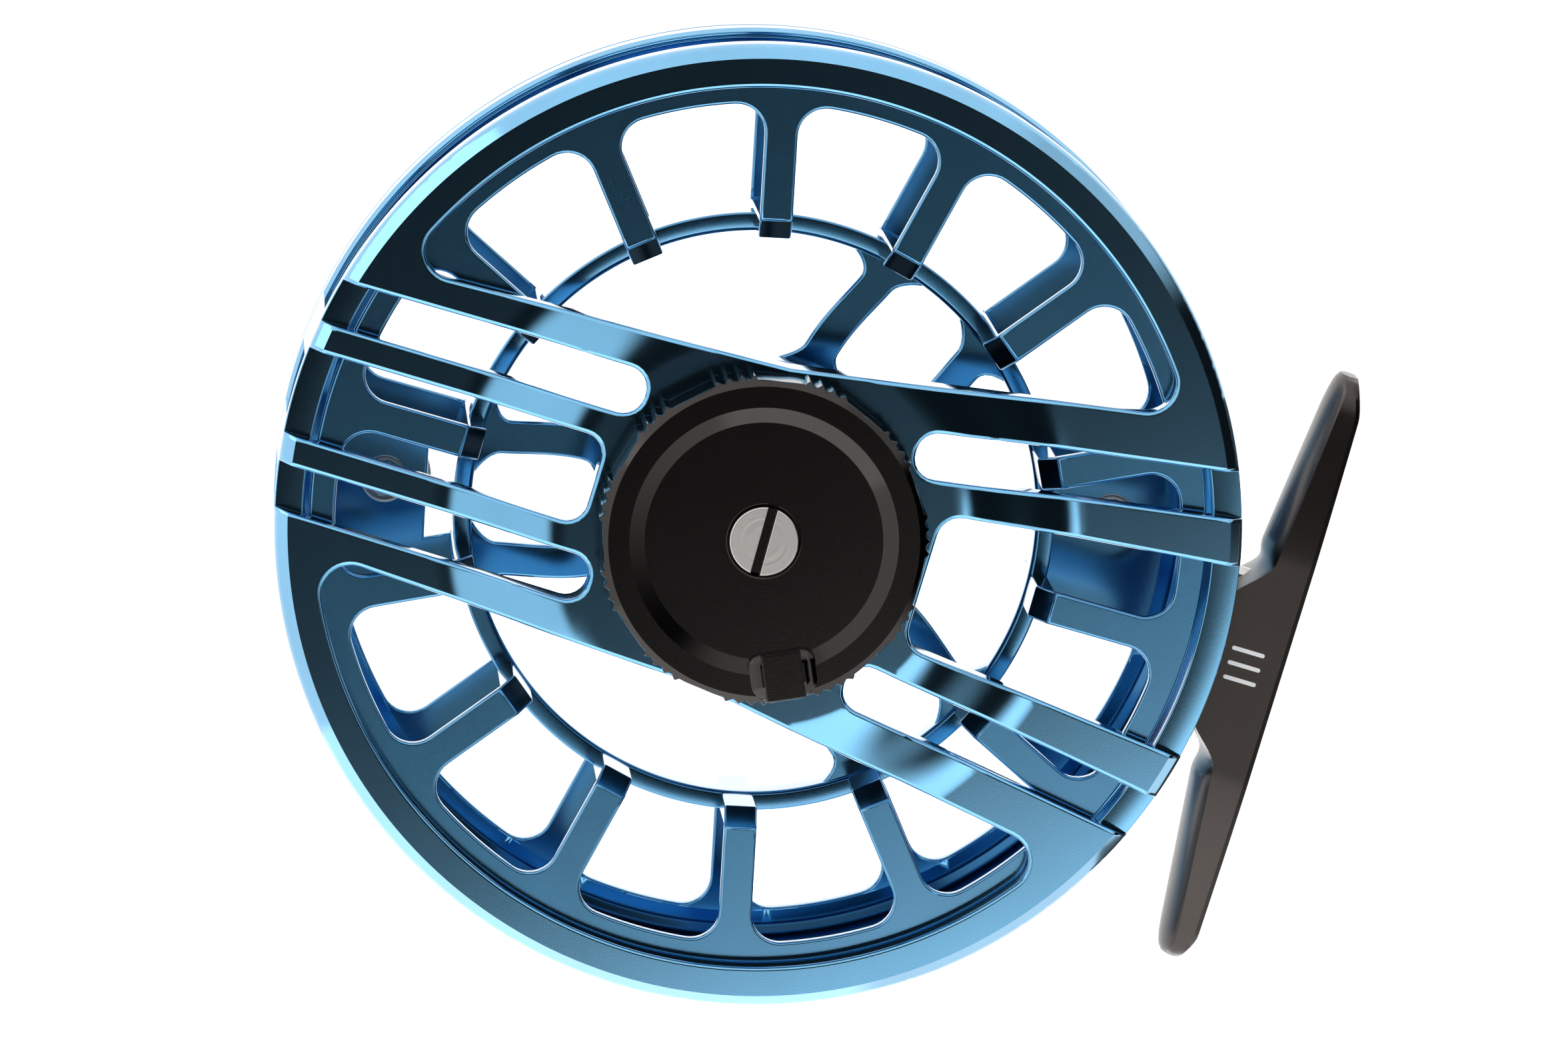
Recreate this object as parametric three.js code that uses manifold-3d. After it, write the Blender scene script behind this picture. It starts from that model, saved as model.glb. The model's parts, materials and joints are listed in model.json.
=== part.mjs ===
// Large-arbor fly reel, 101.6 mm across the rim, with a sealed disc drag.
// Millimetres, +Z up. The reel stands on its foot: the origin is the middle of the foot's
// seat face, the spindle runs along Y, the drag knob is on the -Y side and the winding
// handle on the +Y side. Radii are measured from the spindle axis, and Y levels from the
// plane of that axis in which the front and rear of the reel were laid out.
import * as THREE from 'three';
import { mergeVertices } from 'three/addons/utils/BufferGeometryUtils.js';
import Module from 'manifold-3d';

const wasm = await Module();
wasm.setup();

// ---- driving dimensions ----
const AXIS_HEIGHT = 58; // spindle axis above the seat face of the foot
const RIM_R = 50.8; // outer radius of both frame rings and of the palming rim
const RING_INNER_R = 47.8; // bore of both frame rings
const FOOT_Y = -0.9; // middle of the foot, midway between the frame rings
const GAP = 0.3; // clearance between pieces that touch on the real reel

// Y levels of the frame, from the knob side to the handle side
const HUB_FACE_Y = -17.55; // raised hub under the drag knob
const BAR_FACE_Y = -15.25; // outer face of the bars and of the two rim segments
const CHAMFER_BASE_Y = -13.15; // foot of the wide rim chamfer
const STEP_FACE_Y = -12.2; // sunken ring face between the bars
const PLATE_BACK_Y = -12; // inner face of the rear plate
const REAR_RING_BACK_Y = -9.4;
const FRONT_RING_Y = [7.45, 11.75];

const SEGMENT_INNER_R = 46.35; // inner edge of the two rim segments
const CHAMFER_TOP_R = 49.4;
const WINDOW_KNEE = [17.33, 2]; // where the long bar's outer edge bends, on the +X side
const WINDOW_LEAN_UP = 2.4; // degrees from vertical, above the knee
const WINDOW_LEAN_DOWN = 9.3; // degrees from vertical, below the knee
const WINDOW_CORNER_R = 3;

// spool
const SPOKES = 14;
const COUNTERWEIGHT_ANGLE = 103.6; // degrees from +X towards +Z
const HANDLE_ANGLE = COUNTERWEIGHT_ANGLE - 180;
const PAD_R = 39; // radius of the handle and of the counterweight
const FLANGE_R = 47.15;
const FLANGE_WINDOW_R = 44.4;
const SPOKE_WIDTH = 3.45;
const ARBOR_R = 32.1;
const ARBOR_INNER_R = 30.1;
const SPOOL_REAR_Y = -11.5;
const FLANGE_T = 1.5;
const SPOOL_FRONT_Y = 15.2;
const PALM_RIM_Y = 12.05;
const WAIST_RING_Y = [0, 5];
const HUB_OUTER_R = 16.7;
const HUB_INNER_R = 14.9;

// drag housing and what turns inside it
const HOUSING_R = 14.5;
const HOUSING_BORE_R = 13;
const SPINDLE_R = 2.5;
const DISC_R = 12.6;
const DISC_T = 0.7;
const STACK_PITCH = 1;
const STACK_START_Y = -4.8;
const SLEEVE_R = 5;

const KNOB_R = 17.3;
const KNOB_FACE_Y = -25.6;
const KNOB_BACK_Y = -17.9;

// ---- finishes ----
function finish(color, roughness, metalness) {
  return new THREE.MeshStandardMaterial({ color, roughness, metalness });
}
const blue = finish(0x1c5c93, 0.32, 1);
const black = finish(0x1b1a1a, 0.38, 0.9);
const steel = finish(0xa9a7a3, 0.3, 1);
const brass = finish(0xb08d4c, 0.35, 1);
const carbon = finish(0x191a1c, 0.6, 0.1);
const rubber = finish(0x101010, 0.85, 0);

// ---- helpers ----
const rad = THREE.MathUtils.degToRad;
const polar = (r, degrees) => [r * Math.cos(rad(degrees)), r * Math.sin(rad(degrees))];

// A closed three.js geometry as a manifold solid, with its faces turned outwards.
function solidOf(geometry) {
  geometry.deleteAttribute('normal');
  geometry.deleteAttribute('uv');
  const welded = mergeVertices(geometry, 1e-4);
  const index = welded.index.array;
  const triangles = [];
  for (let i = 0; i < index.length; i += 3) {
    const [a, b, c] = [index[i], index[i + 1], index[i + 2]];
    if (a !== b && b !== c && c !== a) triangles.push(a, b, c);
  }
  const points = welded.attributes.position.array;
  let volume = 0;
  const corner = (i) => new THREE.Vector3(points[3 * i], points[3 * i + 1], points[3 * i + 2]);
  for (let i = 0; i < triangles.length; i += 3) {
    const [a, b, c] = [corner(triangles[i]), corner(triangles[i + 1]), corner(triangles[i + 2])];
    volume += a.dot(b.cross(c));
  }
  if (volume < 0) triangles.reverse();
  return new wasm.Manifold(
    new wasm.Mesh({ numProp: 3, vertProperties: points, triVerts: new Uint32Array(triangles) }),
  );
}

// Closed profile of [radius, y] points turned about the spindle axis.
function revolve(profile, segments = 24) {
  const points = profile.map(([r, y]) => new THREE.Vector2(r, y));
  const onAxis = profile[0][0] === 0 && profile[profile.length - 1][0] === 0;
  if (!onAxis) points.push(points[0].clone());
  return solidOf(new THREE.LatheGeometry(points, segments));
}

const ring = (r0, r1, y0, y1, segments) => revolve([[r0, y0], [r1, y0], [r1, y1], [r0, y1]], segments);
const rod = (r, y0, y1, segments = 16) => revolve([[0, y0], [r, y0], [r, y1], [0, y1]], segments);

// A shape drawn in (x, z), given thickness from y0 to y1.
function slab(shape, y0, y1, curveSegments = 6) {
  const geometry = new THREE.ExtrudeGeometry(shape, { depth: y1 - y0, bevelEnabled: false, curveSegments });
  geometry.rotateX(Math.PI / 2);
  geometry.translate(0, y1, 0);
  return solidOf(geometry);
}

const shapeOf = (points) => new THREE.Shape(points.map(([x, z]) => new THREE.Vector2(x, z)));

function sector(r0, r1, degrees0, degrees1) {
  const shape = new THREE.Shape();
  shape.absarc(0, 0, r1, rad(degrees0), rad(degrees1), false);
  shape.absarc(0, 0, r0, rad(degrees1), rad(degrees0), true);
  shape.closePath();
  return shape;
}

function polygonShape(sides, circumradius, turn = 0) {
  const corners = [];
  for (let i = 0; i < sides; i += 1) corners.push(polar(circumradius, turn + (360 * i) / sides));
  return shapeOf(corners);
}

// Fillet between a straight edge and the arc of radius arcR around the axis. The edge starts
// at `from` and runs along `along`; `inward` points into the opening.
function filletToArc(from, along, inward, arcR, filletR) {
  const start = [from[0] + inward[0] * filletR, from[1] + inward[1] * filletR];
  const reach = arcR - filletR;
  const b = start[0] * along[0] + start[1] * along[1];
  const c = start[0] ** 2 + start[1] ** 2 - reach ** 2;
  const t = -b + Math.sqrt(b * b - c);
  const centre = [start[0] + along[0] * t, start[1] + along[1] * t];
  const edgeAngle = Math.atan2(-inward[1], -inward[0]);
  const arcAngle = Math.atan2(centre[1], centre[0]);
  return { centre, edgeAngle, arcAngle };
}

// Opening bounded by two straight edges and the arc of radius arcR, with both outer corners
// rounded. `low` is the edge met first going anticlockwise, `high` the other one.
function arcOpening(low, high, innerPoints, arcR, filletR) {
  const first = filletToArc(low.from, low.along, low.inward, arcR, filletR);
  const last = filletToArc(high.from, high.along, high.inward, arcR, filletR);
  const shape = new THREE.Shape();
  shape.moveTo(...innerPoints[0]);
  innerPoints.slice(1).forEach((point) => shape.lineTo(...point));
  shape.absarc(...first.centre, filletR, first.edgeAngle, first.arcAngle, false);
  shape.absarc(0, 0, arcR, first.arcAngle, last.arcAngle, false);
  shape.absarc(...last.centre, filletR, last.arcAngle, last.edgeAngle, false);
  shape.closePath();
  return shape;
}

// Slot open at its outer end, with the two inner corners rounded. Corners run inner left,
// inner right, outer right, outer left.
function openSlot([innerLeft, innerRight, outerRight, outerLeft], cornerR) {
  const towards = (from, to, distance) => {
    const share = distance / Math.hypot(to[0] - from[0], to[1] - from[1]);
    return [from[0] + (to[0] - from[0]) * share, from[1] + (to[1] - from[1]) * share];
  };
  const shape = new THREE.Shape();
  shape.moveTo(...outerLeft);
  shape.lineTo(...towards(innerLeft, outerLeft, cornerR));
  shape.quadraticCurveTo(...innerLeft, ...towards(innerLeft, innerRight, cornerR));
  shape.lineTo(...towards(innerRight, innerLeft, cornerR));
  shape.quadraticCurveTo(...innerRight, ...towards(innerRight, outerRight, cornerR));
  shape.lineTo(...outerRight);
  shape.closePath();
  return shape;
}

const turned = (solid, degrees) => solid.rotate([0, -degrees, 0]);
const at = (solid, r, degrees) => {
  const [x, z] = polar(r, degrees);
  return solid.translate([x, 0, z]);
};

const reel = new THREE.Group();
reel.position.set(0, -FOOT_Y, AXIS_HEIGHT);

function addPiece(name, solid, material, parent = reel) {
  const { vertProperties, triVerts } = solid.getMesh();
  const geometry = new THREE.BufferGeometry();
  geometry.setAttribute('position', new THREE.BufferAttribute(vertProperties.slice(), 3));
  geometry.setIndex(new THREE.BufferAttribute(triVerts.slice(), 1));
  geometry.computeVertexNormals();
  const mesh = new THREE.Mesh(geometry, material);
  mesh.name = name;
  parent.add(mesh);
  return mesh;
}

// ---- frame: rear plate with bars, two rings, line-guard pillars and foot bridge ----
const FOOT_SCREW_X = 8.2;
const HOUSING_SCREW_R = 11;
const HOUSING_SCREW_ANGLES = [30, 150, 270];
const PUSH_PIN_R = 7.5;
const PUSH_PIN_ANGLES = [90, 210, 330];
const HUB_RECESS_Y = -16.25;
const RIM_SEGMENTS = 60;
const KNOB_DETENT = { r: 15.3, degrees: 210, ballR: 0.9, holeR: 1.15, holeEnd: -14 };

function rearPlate() {
  const disc = revolve(
    [
      [0, HUB_FACE_Y], [19.5, HUB_FACE_Y], [22.5, HUB_FACE_Y + 0.3], [28.5, BAR_FACE_Y - 0.3],
      [31.5, BAR_FACE_Y], [CHAMFER_TOP_R, BAR_FACE_Y], [RIM_R, CHAMFER_BASE_Y],
      [RIM_R, PLATE_BACK_Y], [0, PLATE_BACK_Y],
    ],
    RIM_SEGMENTS,
  );
  const lean = (degrees) => [Math.sin(rad(degrees)), Math.cos(rad(degrees))];
  const [upX, upZ] = lean(WINDOW_LEAN_UP);
  const [downX, downZ] = lean(WINDOW_LEAN_DOWN);
  const window = arcOpening(
    { from: WINDOW_KNEE, along: [downX, -downZ], inward: [downZ, downX] },
    { from: WINDOW_KNEE, along: [-upX, upZ], inward: [upZ, upX] },
    [WINDOW_KNEE],
    SEGMENT_INNER_R,
    WINDOW_CORNER_R,
  );
  const middleSlots = [
    openSlot([[-4.75, 18.2], [4.75, 18.2], [4.6, 56], [-4.6, 56]], 2.2),
    openSlot([[7.2, -17.8], [-7.2, -17.8], [-11.2, -56], [11.2, -56]], 2.5),
  ];
  const rightSlots = [
    openSlot([[7.75, 15.75], [12.75, 15.75], [12.35, 56], [7.65, 56]], 2.3),
    openSlot([[14.95, -13.1], [10, -13.1], [16.6, -56], [21.5, -56]], 2.3),
  ];
  const throughCut = (shape, segments) => slab(shape, HUB_FACE_Y - 1, PLATE_BACK_Y + 1, segments);
  const rightCuts = [throughCut(window, 8), ...rightSlots.map((slot) => throughCut(slot, 3))];
  const cuts = [
    ...middleSlots.map((slot) => throughCut(slot, 3)),
    ...rightCuts,
    ...rightCuts.map((solid) => solid.mirror([1, 0, 0])),
  ];
  return cuts.reduce((plate, cut) => plate.subtract(cut), disc);
}

function makeFrame() {
  const rearRing = ring(RING_INNER_R, RIM_R, STEP_FACE_Y, REAR_RING_BACK_Y, RIM_SEGMENTS);
  const [frontY0, frontY1] = FRONT_RING_Y;
  const frontRing = revolve(
    [
      [RING_INNER_R, frontY0], [RIM_R - 0.4, frontY0], [RIM_R, frontY0 + 0.9],
      [RIM_R, frontY1], [RING_INNER_R, frontY1],
    ],
    RIM_SEGMENTS,
  );
  let frame = rearPlate().add(rearRing).add(frontRing);
  const pillarY = [REAR_RING_BACK_Y - 0.2, frontY0 + 0.2];
  const pillars = [[80.25, 86.25], [93.75, 99.75], [-105, -75]];
  pillars.forEach(([low, high]) => {
    frame = frame.add(slab(sector(RING_INNER_R + 0.4, RIM_R, low, high), ...pillarY, 3));
  });
  // bore for the spindle, recess for the thrust washer, holes for push pins and screws
  frame = frame.subtract(rod(SPINDLE_R + GAP, HUB_FACE_Y - 1, PLATE_BACK_Y + 1));
  frame = frame.subtract(rod(12.9, HUB_FACE_Y - 1, HUB_RECESS_Y, 24));
  PUSH_PIN_ANGLES.forEach((degrees) => {
    frame = frame.subtract(at(rod(1.3, HUB_RECESS_Y - 1, PLATE_BACK_Y + 1, 10), PUSH_PIN_R, degrees));
  });
  HOUSING_SCREW_ANGLES.forEach((degrees) => {
    frame = frame.subtract(at(rod(1.9, HUB_RECESS_Y - 1, -14.6, 10), HOUSING_SCREW_R, degrees));
    frame = frame.subtract(at(rod(1.2, -15, PLATE_BACK_Y + 1, 8), HOUSING_SCREW_R, degrees));
  });
  const detentHole = rod(KNOB_DETENT.holeR, HUB_FACE_Y - 1, KNOB_DETENT.holeEnd, 10);
  frame = frame.subtract(at(detentHole, KNOB_DETENT.r, KNOB_DETENT.degrees));
  [-1, 1].forEach((side) => {
    const hole = footScrewBody(GAP).translate([side * FOOT_SCREW_X, 0, 0]);
    frame = frame.subtract(hole);
  });
  addPiece('frame', frame, blue);
}

// Countersunk screw standing along Z, from inside the cage down into the foot.
function footScrewBody(extra) {
  const headR = 2.3 + extra;
  const shankR = 1.3 + extra;
  const end = -8 - 2 * extra;
  const top = 5 * extra;
  const profile = [[0, top], [headR, top], [headR, -0.4], [shankR, -1.4], [shankR, end], [0, end]];
  const upright = revolve(profile, 16).rotate([90, 0, 0]);
  return upright.translate([0, FOOT_Y, -47.9]);
}

// ---- foot ----
const FOOT_LENGTH = 64.5;
const FOOT_WIDTH = 14;
const FOOT_TOP_Z = -50.4;

function makeFoot() {
  const seat = -AXIS_HEIGHT;
  const half = FOOT_LENGTH / 2;
  const side = new THREE.Shape();
  side.moveTo(-half + 4, seat);
  side.lineTo(half - 4, seat);
  side.quadraticCurveTo(half - 0.6, seat + 0.4, half, seat + 3.2);
  side.lineTo(13, seat + 5.6);
  side.quadraticCurveTo(10.2, seat + 6, 9.6, FOOT_TOP_Z + 0.6);
  side.lineTo(9.6, FOOT_TOP_Z + 2);
  side.lineTo(-9.6, FOOT_TOP_Z + 2);
  side.lineTo(-9.6, FOOT_TOP_Z + 0.6);
  side.quadraticCurveTo(-10.2, seat + 6, -13, seat + 5.6);
  side.lineTo(-half, seat + 3.2);
  side.quadraticCurveTo(-half + 0.6, seat + 0.4, -half + 4, seat);
  const body = slab(side, FOOT_Y - FOOT_WIDTH / 2, FOOT_Y + FOOT_WIDTH / 2, 6);

  const plan = new THREE.Shape();
  const tip = FOOT_WIDTH / 2 - 2.4;
  const wide = FOOT_WIDTH / 2 + 0.1;
  plan.moveTo(-14, -wide);
  plan.lineTo(14, -wide);
  plan.lineTo(half - 2.5, -tip);
  plan.quadraticCurveTo(half + 0.1, -tip, half + 0.1, 0);
  plan.quadraticCurveTo(half + 0.1, tip, half - 2.5, tip);
  plan.lineTo(14, wide);
  plan.lineTo(-14, wide);
  plan.lineTo(-half + 2.5, tip);
  plan.quadraticCurveTo(-half - 0.1, tip, -half - 0.1, 0);
  plan.quadraticCurveTo(-half - 0.1, -tip, -half + 2.5, -tip);
  const prismOptions = { depth: 20, bevelEnabled: false, curveSegments: 5 };
  const planPrism = solidOf(new THREE.ExtrudeGeometry(plan, prismOptions));
  let foot = body.intersect(planPrism.translate([0, FOOT_Y, seat - 1]));
  foot = foot.subtract(rod(RIM_R + GAP, -20, 20, 60));
  [-1, 1].forEach((sideOfFoot) => {
    foot = foot.subtract(footScrewBody(GAP).translate([sideOfFoot * FOOT_SCREW_X, 0, 0]));
  });
  addPiece('reel_foot', foot, black);
}

function makeFootScrews() {
  [-1, 1].forEach((side, i) => {
    addPiece(`foot_screw_${i + 1}`, footScrewBody(0).translate([side * FOOT_SCREW_X, 0, 0]), steel);
  });
}

// ---- drag housing, its cover, seal and screws ----
const HOUSING_FLOOR_Y = [PLATE_BACK_Y + GAP, -10];
const COVER_Y = [1.2, 4];
const TAB_R = 13.6;
const TAB_ANGLES = [0, 120, 240];
const CLICK_PIN_R = 10.5;
const CLICK_HOLES = 16;

function makeHousing() {
  let housing = revolve([
    [4.6, HOUSING_FLOOR_Y[0]], [HOUSING_R, HOUSING_FLOOR_Y[0]], [HOUSING_R, COVER_Y[1]],
    [HOUSING_BORE_R, COVER_Y[1]], [HOUSING_BORE_R, HOUSING_FLOOR_Y[1]], [4.6, HOUSING_FLOOR_Y[1]],
  ]);
  PUSH_PIN_ANGLES.forEach((degrees) => {
    housing = housing.subtract(at(rod(1.3, -13, -9, 10), PUSH_PIN_R, degrees));
  });
  HOUSING_SCREW_ANGLES.forEach((degrees) => {
    housing = housing.subtract(at(rod(1.2, -13, -9, 8), HOUSING_SCREW_R, degrees));
  });
  TAB_ANGLES.forEach((degrees) => {
    const groove = shapeOf([[12, -1.8], [TAB_R + GAP, -1.8], [TAB_R + GAP, 1.8], [12, 1.8]]);
    housing = housing.subtract(turned(slab(groove, STACK_START_Y - 0.3, COVER_Y[0] - 0.1), degrees));
  });
  addPiece('drag_housing', housing, black);
  HOUSING_SCREW_ANGLES.forEach((degrees, i) => {
    const profile = [[0, -16.1], [1.55, -16.1], [1.55, -14.9], [0.9, -14.9], [0.9, -10.2], [0, -10.2]];
    const screw = revolve(profile, 8);
    addPiece(`housing_screw_${i + 1}`, at(screw, HOUSING_SCREW_R, degrees), steel);
  });
  let cover = revolve([
    [5.4, COVER_Y[0]], [12.7, COVER_Y[0]], [12.7, COVER_Y[1]], [5.4, COVER_Y[1]],
    [5.4, 3.3], [6.4, 3.3], [6.4, 1.9], [5.4, 1.9],
  ]);
  cover = cover.subtract(at(rod(0.95, 1.7, 5, 10), CLICK_PIN_R, 45));
  addPiece('drag_cover', cover, black);
  const seal = [[5.2, 2.6], [5.4, 2.2], [5.9, 2.15], [6.2, 2.6], [5.9, 3.05], [5.4, 3]];
  addPiece('sleeve_seal', revolve(seal), rubber);
}

// ---- spindle, fixed to the frame ----
function makeSpindle() {
  const spindle = revolve([
    [0, -22.6], [SPINDLE_R, -22.6], [SPINDLE_R, -9.7], [4.2, -9.7], [4.2, -8.7], [SPINDLE_R, -8.7],
    [SPINDLE_R, 9.4], [1.9, 9.4], [1.9, 13], [0, 13],
  ], 16);
  addPiece('spindle', spindle.subtract(rod(1.4, -23, -19.4, 8)), steel);
}

// ---- pressure plate, push pins, thrust washer and springs ----
function makePressureParts() {
  addPiece('pressure_plate', ring(5.4, DISC_R, -9.2, -8), steel);
  PUSH_PIN_ANGLES.forEach((degrees, i) => {
    addPiece(`push_pin_${i + 1}`, at(rod(1, -17.3, -9.5, 8), PUSH_PIN_R, degrees), steel);
  });
  addPiece('thrust_washer', ring(5.9, 9, -18.6, -17.6, 20), brass);
  [-7.4, -6.2].forEach((y, i) => {
    const [inner, outer] = i === 0 ? [y + 0.5, y] : [y, y + 0.5];
    const dish = [[5.6, inner], [10.4, outer], [10.4, outer + 0.4], [5.6, inner + 0.4]];
    addPiece(`drag_spring_${i + 1}`, revolve(dish, 20), steel);
  });
}

// ---- disc stack: steel discs keyed to the housing, carbon discs keyed to the rotor ----
const ROTOR_HEX_R = 8.4;

function makeDiscs() {
  for (let i = 0; i < 3; i += 1) {
    const y = STACK_START_Y + 2 * STACK_PITCH * i;
    let disc = ring(8.9, DISC_R, y, y + DISC_T);
    TAB_ANGLES.forEach((degrees) => {
      const tab = shapeOf([[12, -1.4], [TAB_R, -1.4], [TAB_R, 1.4], [12, 1.4]]);
      disc = disc.add(turned(slab(tab, y, y + DISC_T), degrees));
    });
    addPiece(`steel_disc_${i + 1}`, disc, steel);
    const carbonY = y + STACK_PITCH;
    const friction = rod(DISC_R, carbonY, carbonY + DISC_T, 24);
    const hexBore = slab(polygonShape(6, ROTOR_HEX_R + GAP + 0.05), carbonY - 1, carbonY + 2);
    addPiece(`carbon_disc_${i + 1}`, friction.subtract(hexBore), carbon);
  }
}

// ---- rotor, one-way clutch and drive sleeve, which turn with the spool ----
const CLUTCH_R = [SLEEVE_R + 0.1, 6.6];
const DRIVE_HEX_R = 7.5;

function makeDriveParts() {
  const rotor = slab(polygonShape(6, ROTOR_HEX_R), STACK_START_Y, 0.9);
  addPiece('clutch_rotor', rotor.subtract(rod(CLUTCH_R[1] + 0.1, -6, 2, 20)), steel);
  addPiece('roller_clutch', ring(...CLUTCH_R, STACK_START_Y + 0.2, 0.7, 20), brass);
  const sleeveBody = rod(SLEEVE_R, -5, 4.4, 20);
  const driveHex = slab(polygonShape(6, DRIVE_HEX_R), 4.3, 9);
  const boreProfile = [
    [0, -6], [4.1, -6], [4.1, -2.4], [3, -2.4], [3, 6.2], [4.1, 6.2], [4.1, 10], [0, 10],
  ];
  const bore = revolve(boreProfile, 16);
  addPiece('drive_sleeve', sleeveBody.add(driveHex).subtract(bore), steel);
  addPiece('bearing_rear', ring(SPINDLE_R + 0.1, 4, -4.9, -2.6, 16), steel);
  addPiece('bearing_front', ring(SPINDLE_R + 0.1, 4, 6.4, 8.7, 16), steel);
  let clickPlate = rod(12.5, 4.9, 5.7, 24).subtract(slab(polygonShape(6, DRIVE_HEX_R + 0.3), 4, 6));
  for (let i = 0; i < CLICK_HOLES; i += 1) {
    clickPlate = clickPlate.subtract(at(rod(1, 4, 6, 6), CLICK_PIN_R, (360 * i) / CLICK_HOLES));
  }
  addPiece('click_plate', clickPlate, steel);
}

function makeClickPin() {
  const place = polar(CLICK_PIN_R, 45);
  const pin = revolve([[0, 3], [0.75, 3], [0.75, 4.5], [0.4, 4.8], [0, 4.8]], 8);
  addPiece('click_pin', pin.translate([place[0], 0, place[1]]), steel);
  addPiece('click_spring', at(ring(0.3, 0.7, 1.75, 2.35, 8), CLICK_PIN_R, 45), steel);
}

// ---- drag knob with its threaded insert, screw and detent ----
function makeKnob() {
  const outline = new THREE.Shape();
  const lobes = 12;
  for (let i = 0; i < lobes * 4; i += 1) {
    const [x, z] = polar(i % 4 === 1 ? KNOB_R - 0.55 : KNOB_R, (360 * i) / (lobes * 4));
    if (i === 0) outline.moveTo(x, z);
    else outline.lineTo(x, z);
  }
  const turnedForm = revolve(
    [
      [0, KNOB_FACE_Y + 0.5], [12.4, KNOB_FACE_Y + 0.5], [14, KNOB_FACE_Y], [16.2, KNOB_FACE_Y],
      [17.3, KNOB_FACE_Y + 1.1], [17.6, KNOB_BACK_Y], [14.2, KNOB_BACK_Y], [13.6, -21], [0, -21],
    ],
    36,
  );
  let knob = turnedForm.intersect(slab(outline, KNOB_FACE_Y - 1, KNOB_BACK_Y + 1));
  const pointer = shapeOf([[11.6, -2.1], [16.6, -2.1], [16.6, 2.1], [11.6, 2.1]]);
  knob = knob.add(turned(slab(pointer, KNOB_FACE_Y - 0.6, KNOB_FACE_Y + 2), 204));
  knob = knob.add(rod(8.8, -22, -18.9, 20));
  knob = knob.subtract(rod(3.85, KNOB_FACE_Y - 1, -23.2, 20));
  knob = knob.subtract(rod(5.4, -22.9, -18, 16)).subtract(rod(1.5, -24, -22, 8));
  addPiece('drag_knob', knob, black);
  const insert = ring(SPINDLE_R + 0.1, 5.1, -22.6, -18.9, 16);
  addPiece('knob_insert', insert, brass);
  let screw = revolve([[0, -25.4], [3.6, -25.4], [3.6, -23.5], [1.2, -23.5], [1.2, -19.8], [0, -19.8]], 20);
  const slot = shapeOf([[-5, -0.46], [5, -0.46], [5, 0.46], [-5, 0.46]]);
  screw = screw.subtract(turned(slab(slot, -26, -24.6), 1.5));
  addPiece('knob_screw', screw, steel);
}

function makeKnobDetent() {
  const { r, degrees, ballR } = KNOB_DETENT;
  const [x, z] = polar(r, degrees);
  const ball = solidOf(new THREE.SphereGeometry(ballR, 8, 6)).translate([x, -16.92, z]);
  addPiece('detent_ball', ball, steel);
  addPiece('detent_spring', at(ring(0.4, 0.8, -15.4, -14.1, 8), r, degrees), steel);
}

// ---- spool: two spoked flanges, open arbor, waist ring, curved arms and hub ----
const ARM_WIDTH = 3.7;
const ARM_PAIR_CENTRES = [COUNTERWEIGHT_ANGLE, COUNTERWEIGHT_ANGLE + 128.57, COUNTERWEIGHT_ANGLE - 128.57];
const ARM_HUB_SPREAD = 20; // half angle between the two arms of a pair, at the hub
const PITCH = 360 / SPOKES;
const SPOOL_SEGMENTS = 4 * SPOKES;

function spokeWindow(centreAngle) {
  const lowAngle = centreAngle - PITCH / 2;
  const highAngle = centreAngle + PITCH / 2;
  const edge = (angle, sign) => {
    const side = polar(1, angle + 90 * sign);
    return {
      from: [(side[0] * SPOKE_WIDTH) / 2, (side[1] * SPOKE_WIDTH) / 2],
      along: polar(1, angle),
      inward: side,
    };
  };
  const low = edge(lowAngle, 1);
  const high = edge(highAngle, -1);
  const inner = 28;
  const innerHigh = [high.from[0] + high.along[0] * inner, high.from[1] + high.along[1] * inner];
  const innerLow = [low.from[0] + low.along[0] * inner, low.from[1] + low.along[1] * inner];
  return arcOpening(low, high, [innerHigh, innerLow], FLANGE_WINDOW_R, 3);
}

// S-shaped arm from the hub to a spoke's foot on the waist ring.
function armShape(pairCentre, side) {
  const lean = (t) => ARM_HUB_SPREAD + (PITCH / 2 - ARM_HUB_SPREAD) * t * t * (3 - 2 * t);
  const steps = 5;
  const left = [];
  const right = [];
  for (let i = 0; i <= steps; i += 1) {
    const t = i / steps;
    const r = HUB_OUTER_R - 1 + (ARBOR_INNER_R + 0.6 - HUB_OUTER_R + 1) * t;
    const angle = pairCentre + side * lean(t);
    const half = ARM_WIDTH / 2 + 1.6 * (2 * t - 1) ** 6;
    const spread = THREE.MathUtils.radToDeg(half / r);
    left.push(polar(r, angle + spread));
    right.push(polar(r, angle - spread));
  }
  return shapeOf([...right, ...left.reverse()]);
}

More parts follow.
